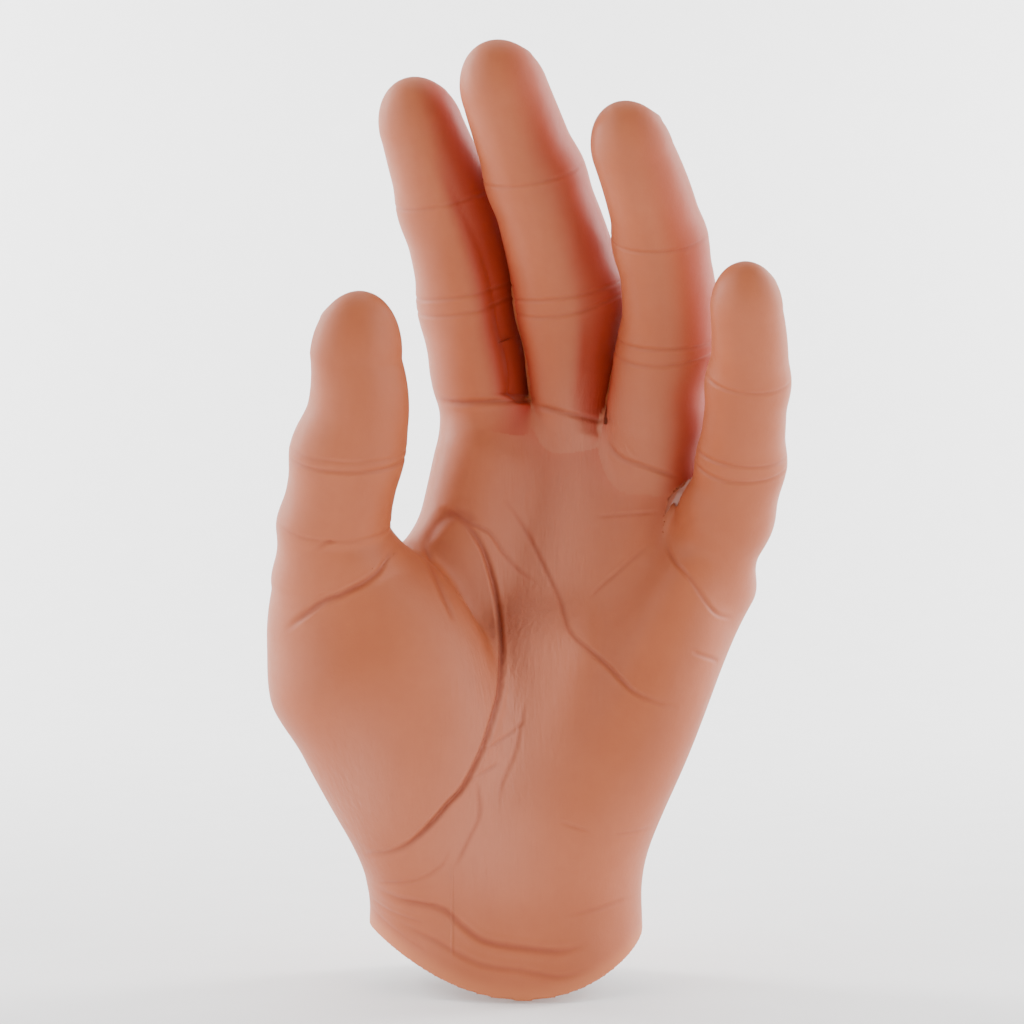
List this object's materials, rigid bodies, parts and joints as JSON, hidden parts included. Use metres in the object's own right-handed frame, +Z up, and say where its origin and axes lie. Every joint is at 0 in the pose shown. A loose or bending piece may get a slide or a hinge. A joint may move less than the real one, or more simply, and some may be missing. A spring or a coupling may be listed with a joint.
{
  "type": "prosthetic hand",
  "caption": "Posable passive left hand prosthesis with lifelike silicone skin, hinged inner armature and a recessed threaded wrist stud.",
  "frame": {"origin": "on the axis of the wrist stud, at the narrowest height of the wrist", "axes": "+Z up the forearm axis to the fingertips, the palm faces -Y, the thumb is on the -X side"},
  "size_m": [0.1081, 0.068, 0.2028],
  "materials": {
    "glove_silicone": "satin skin-toned silicone with fine creases",
    "core_resin": "cast resin",
    "nail_acrylic": "semi-gloss tinted acrylic",
    "pin_steel": "turned stainless steel",
    "link_aluminium": "machined, bead blasted"
  },
  "bodies": {
    "palm": {"palm_glove": "glove_silicone", "palm_core": "core_resin", "palm_hub": "link_aluminium", "wrist_plate": "link_aluminium", "wrist_stud": "pin_steel", "stud_nut": "pin_steel", "plate_screws": "pin_steel", "set_screws": "pin_steel", "knuckle_pins": "pin_steel", "index_rod": "link_aluminium", "middle_rod": "link_aluminium", "ring_rod": "link_aluminium", "little_rod": "link_aluminium", "thumb_rod": "link_aluminium"},
    "index_proximal": {"index_proximal_link": "link_aluminium", "index_proximal_skin": "glove_silicone", "index_pip_pin": "pin_steel"},
    "index_middle": {"index_middle_link": "link_aluminium", "index_middle_skin": "glove_silicone", "index_dip_pin": "pin_steel"},
    "index_distal": {"index_distal_link": "link_aluminium", "index_distal_skin": "glove_silicone", "index_nail": "nail_acrylic"},
    "middle_proximal": {"middle_proximal_link": "link_aluminium", "middle_proximal_skin": "glove_silicone", "middle_pip_pin": "pin_steel"},
    "middle_middle": {"middle_middle_link": "link_aluminium", "middle_middle_skin": "glove_silicone", "middle_dip_pin": "pin_steel"},
    "middle_distal": {"middle_distal_link": "link_aluminium", "middle_distal_skin": "glove_silicone", "middle_nail": "nail_acrylic"},
    "ring_proximal": {"ring_proximal_link": "link_aluminium", "ring_proximal_skin": "glove_silicone", "ring_pip_pin": "pin_steel"},
    "ring_middle": {"ring_middle_link": "link_aluminium", "ring_middle_skin": "glove_silicone", "ring_dip_pin": "pin_steel"},
    "ring_distal": {"ring_distal_link": "link_aluminium", "ring_distal_skin": "glove_silicone", "ring_nail": "nail_acrylic"},
    "little_proximal": {"little_proximal_link": "link_aluminium", "little_proximal_skin": "glove_silicone", "little_pip_pin": "pin_steel"},
    "little_middle": {"little_middle_link": "link_aluminium", "little_middle_skin": "glove_silicone", "little_dip_pin": "pin_steel"},
    "little_distal": {"little_distal_link": "link_aluminium", "little_distal_skin": "glove_silicone", "little_nail": "nail_acrylic"},
    "thumb_proximal": {"thumb_proximal_link": "link_aluminium", "thumb_proximal_skin": "glove_silicone", "thumb_ip_pin": "pin_steel"},
    "thumb_distal": {"thumb_distal_link": "link_aluminium", "thumb_distal_skin": "glove_silicone", "thumb_nail": "nail_acrylic"}
  },
  "joints": [
    {"name": "index_mcp", "type": "hinge", "parent": "palm", "child": "index_proximal", "pos_m": [-0.0063, 0.008, 0.1144], "axis": [0.9689, -0.2079, 0.1344], "range_deg": [-12, 32]},
    {"name": "index_pip", "type": "hinge", "parent": "index_proximal", "child": "index_middle", "pos_m": [-0.00923, 0.00421, 0.12967], "axis": [0.9689, -0.2079, 0.1344], "range_deg": [-12, 42]},
    {"name": "index_dip", "type": "hinge", "parent": "index_middle", "child": "index_distal", "pos_m": [-0.01362, -0.00315, 0.14993], "axis": [0.9689, -0.2079, 0.1344], "range_deg": [-12, 30]},
    {"name": "middle_mcp", "type": "hinge", "parent": "palm", "child": "middle_proximal", "pos_m": [0.0152, 0.0047, 0.114], "axis": [0.9642, -0.2419, 0.1082], "range_deg": [-12, 32]},
    {"name": "middle_pip", "type": "hinge", "parent": "middle_proximal", "child": "middle_middle", "pos_m": [0.01225, 0.00015, 0.13011], "axis": [0.9642, -0.2419, 0.1082], "range_deg": [-12, 42]},
    {"name": "middle_dip", "type": "hinge", "parent": "middle_middle", "child": "middle_distal", "pos_m": [0.00615, -0.01325, 0.15451], "axis": [0.9642, -0.2419, 0.1082], "range_deg": [-12, 30]},
    {"name": "ring_mcp", "type": "hinge", "parent": "palm", "child": "ring_proximal", "pos_m": [0.0342, -0.0006, 0.105], "axis": [0.97, -0.2419, -0.022], "range_deg": [-12, 32]},
    {"name": "ring_pip", "type": "hinge", "parent": "ring_proximal", "child": "ring_middle", "pos_m": [0.03316, -0.00605, 0.11893], "axis": [0.97, -0.2419, -0.022], "range_deg": [-12, 42]},
    {"name": "ring_dip", "type": "hinge", "parent": "ring_middle", "child": "ring_distal", "pos_m": [0.03043, -0.01891, 0.1402], "axis": [0.97, -0.2419, -0.022], "range_deg": [-12, 30]},
    {"name": "little_mcp", "type": "hinge", "parent": "palm", "child": "little_proximal", "pos_m": [0.0488, -0.0082, 0.0826], "axis": [0.9732, -0.1908, -0.1281], "range_deg": [-12, 32]},
    {"name": "little_pip", "type": "hinge", "parent": "little_proximal", "child": "little_middle", "pos_m": [0.04914, -0.01419, 0.09413], "axis": [0.9732, -0.1908, -0.1281], "range_deg": [-12, 42]},
    {"name": "little_dip", "type": "hinge", "parent": "little_middle", "child": "little_distal", "pos_m": [0.04911, -0.02517, 0.11025], "axis": [0.9732, -0.1908, -0.1281], "range_deg": [-12, 30]},
    {"name": "thumb_root", "type": "hinge", "parent": "palm", "child": "thumb_proximal", "pos_m": [-0.0345, -0.02, 0.0805], "axis": [0.9498, 0.309, 0.0498], "range_deg": [-12, 28]},
    {"name": "thumb_ip", "type": "hinge", "parent": "thumb_proximal", "child": "thumb_distal", "pos_m": [-0.033, -0.02709, 0.09588], "axis": [0.9498, 0.309, 0.0498], "range_deg": [-12, 40]}
  ]
}
